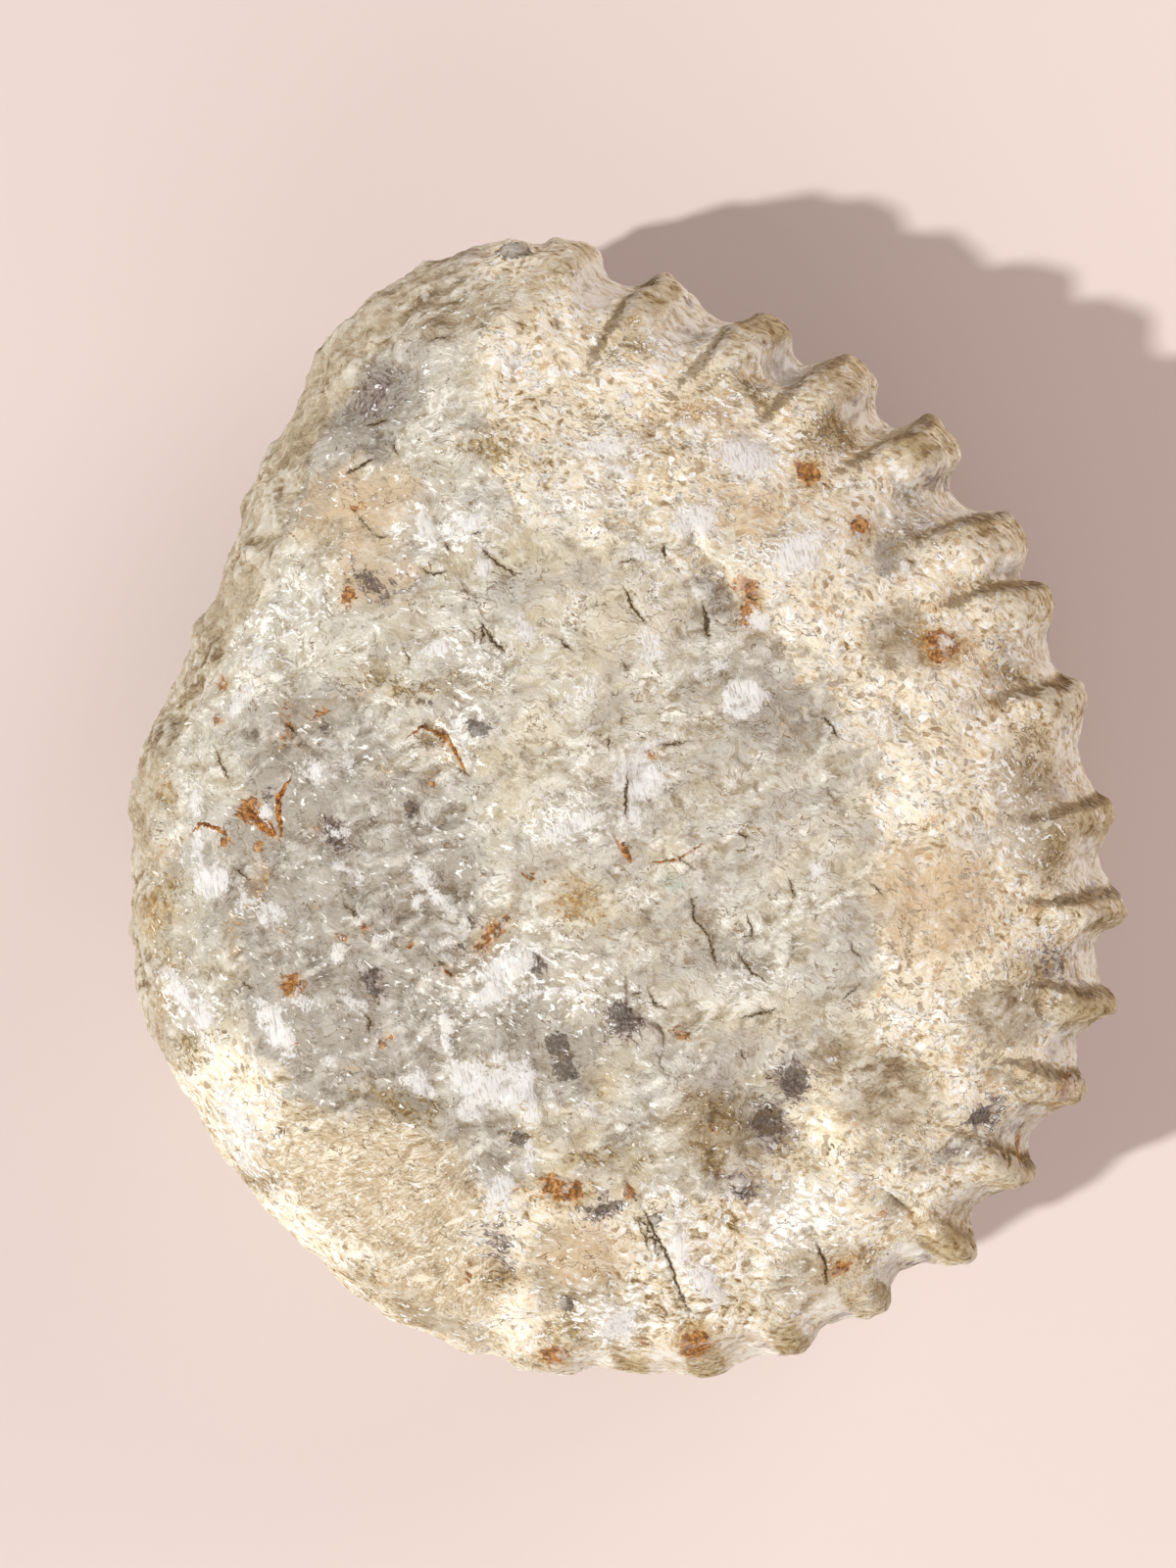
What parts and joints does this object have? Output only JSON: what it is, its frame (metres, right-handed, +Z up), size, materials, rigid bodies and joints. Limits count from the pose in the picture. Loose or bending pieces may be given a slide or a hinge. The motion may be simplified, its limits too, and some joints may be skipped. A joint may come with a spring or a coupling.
{
  "type": "fossil ammonite",
  "caption": "Large strongly ribbed fossil ammonite lying on its flank, its hollow filled with limestone matrix and its mouth broken away.",
  "frame": {"origin": "centre of the bounding box's bottom, on the worn resting face of the lower flank", "axes": "+Z up, square to the plane of the coil; +Y along the longest side, towards the top of the broken mouth; +X towards the ribbed outer edge; the whorl grows anticlockwise seen from above"},
  "size_m": [0.1832, 0.2109, 0.0828],
  "materials": {
    "stone": "matt weathered limestone"
  },
  "bodies": {
    "root": {"ammonite": "stone"}
  },
  "joints": []
}
